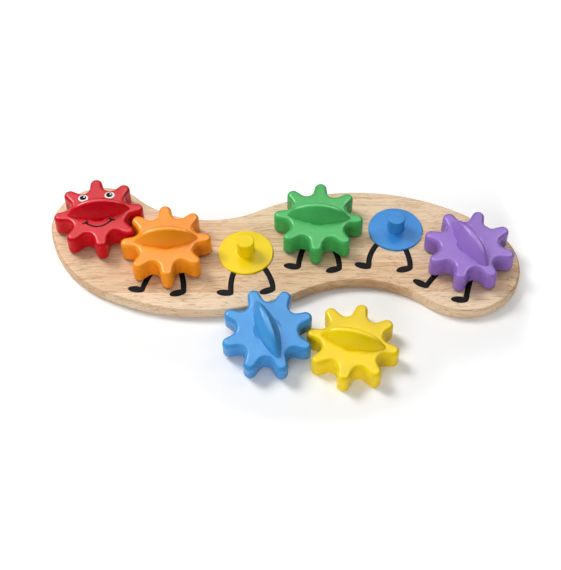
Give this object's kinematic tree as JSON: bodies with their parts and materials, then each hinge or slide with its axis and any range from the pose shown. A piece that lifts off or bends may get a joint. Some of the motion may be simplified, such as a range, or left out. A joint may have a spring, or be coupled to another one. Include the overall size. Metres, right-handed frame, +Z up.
{
  "type": "peg gear board toy",
  "caption": "S-shaped wooden board with a row of coloured plastic peg bases and toothed gears with finger fins that lift off; gears on neighbouring pegs mesh.",
  "frame": {"origin": "middle of the board's S-shaped outline, on its underside, which stands on the table", "axes": "+X along the board from the red head gear to the purple tail gear, +Y to the back, away from the two loose gears, +Z up, along the pegs"},
  "size_m": [0.3749, 0.194, 0.0427],
  "materials": {
    "rubberwood": "satin clear lacquer",
    "red_plastic": "satin moulded",
    "orange_plastic": "satin moulded",
    "yellow_plastic": "satin moulded",
    "green_plastic": "satin moulded",
    "blue_plastic": "satin moulded",
    "purple_plastic": "satin moulded",
    "zinc_steel": "bright zinc plated"
  },
  "bodies": {
    "toy_board": {"board": "rubberwood", "red_peg_base": "red_plastic", "orange_peg_base": "orange_plastic", "yellow_peg_base": "yellow_plastic", "green_peg_base": "green_plastic", "blue_peg_base": "blue_plastic", "purple_peg_base": "purple_plastic", "red_peg_screw": "zinc_steel", "orange_peg_screw": "zinc_steel", "yellow_peg_screw": "zinc_steel", "green_peg_screw": "zinc_steel", "blue_peg_screw": "zinc_steel", "purple_peg_screw": "zinc_steel"},
    "red_gear": {"red_gear": "red_plastic"},
    "orange_gear": {"orange_gear": "orange_plastic"},
    "yellow_gear": {"yellow_gear": "yellow_plastic"},
    "green_gear": {"green_gear": "green_plastic"},
    "blue_gear": {"blue_gear": "blue_plastic"},
    "purple_gear": {"purple_gear": "purple_plastic"}
  },
  "joints": [
    {"name": "red_spin", "type": "hinge", "parent": "toy_board", "child": "red_gear", "pos_m": [-0.14567, 0.02493, 0.01], "axis": [0, 0, 1], "continuous": true},
    {"name": "orange_spin", "type": "hinge", "parent": "toy_board", "child": "orange_gear", "pos_m": [-0.09032, -0.00389, 0.01], "axis": [0, 0, 1], "continuous": true},
    {"name": "green_spin", "type": "hinge", "parent": "toy_board", "child": "green_gear", "pos_m": [0.03002, 0.01929, 0.01], "axis": [0, 0, 1], "continuous": true},
    {"name": "purple_spin", "type": "hinge", "parent": "toy_board", "child": "purple_gear", "pos_m": [0.14777, -0.00953, 0.01], "axis": [0, 0, 1], "continuous": true},
    {"name": "yellow_lift", "type": "slide", "parent": "toy_board", "child": "yellow_gear", "axis": [0, 0, 1], "range_m": [0, 0.06]},
    {"name": "blue_lift", "type": "slide", "parent": "toy_board", "child": "blue_gear", "axis": [0, 0, 1], "range_m": [0, 0.06]}
  ],
  "couplings": [
    {"joint": "orange_spin", "follows": "red_spin", "ratio": -1}
  ]
}
